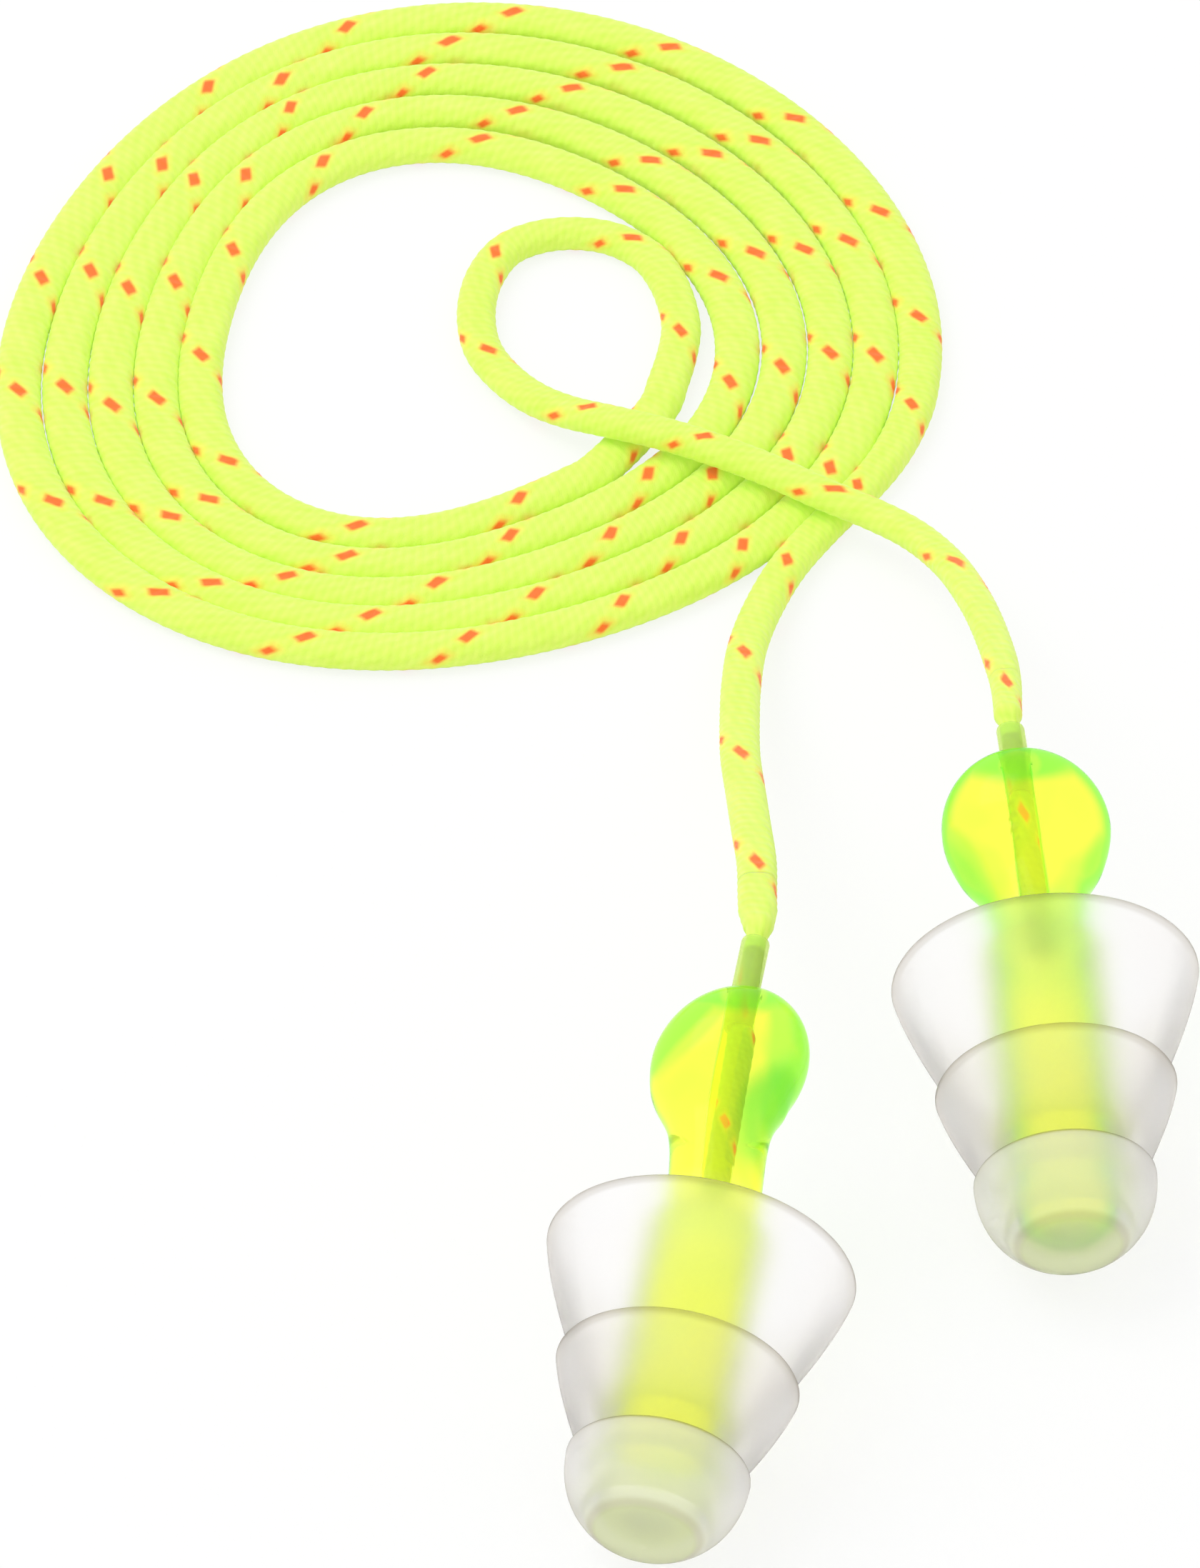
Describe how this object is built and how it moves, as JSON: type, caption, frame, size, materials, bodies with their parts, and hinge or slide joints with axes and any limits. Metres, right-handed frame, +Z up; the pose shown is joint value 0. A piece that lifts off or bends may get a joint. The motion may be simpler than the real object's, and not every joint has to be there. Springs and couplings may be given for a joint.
{
  "type": "corded ear plugs",
  "caption": "Reusable flanged ear plugs with soft translucent tips and bulb-shaped grips, joined by a flat braided neck cord that lies in a coil.",
  "frame": {"origin": "on the table, under the middle of the two plugs", "axes": "+Z up from the table, +Y from the plugs' noses towards the coiled cord, +X to the right-hand plug"},
  "size_m": [0.0519, 0.1042, 0.0126],
  "materials": {
    "tip": "soft translucent, satin",
    "grip": "transparent fluorescent, glossy",
    "sleeve": "translucent, glossy",
    "cord": "fine braid with an orange tracer"
  },
  "bodies": {
    "cord": {"cord_coil": "cord", "cord_left_tail": "cord", "cord_right_tail": "cord"},
    "left_plug": {"left_tip": "tip", "left_grip": "grip", "left_sleeve": "sleeve", "left_cord_end": "cord"},
    "right_plug": {"right_tip": "tip", "right_grip": "grip", "right_sleeve": "sleeve", "right_cord_end": "cord"}
  },
  "joints": [
    {"name": "left_plug_lift", "type": "hinge", "parent": "cord", "child": "left_plug", "pos_m": [-0.00487, 0.00794, 0.01037], "axis": [-0.9833, 0.1822, 0], "range_deg": [0, 90]},
    {"name": "right_plug_lift", "type": "hinge", "parent": "cord", "child": "right_plug", "pos_m": [0.00583, 0.02246, 0.00958], "axis": [-0.9976, -0.0698, 0], "range_deg": [0, 90]}
  ]
}
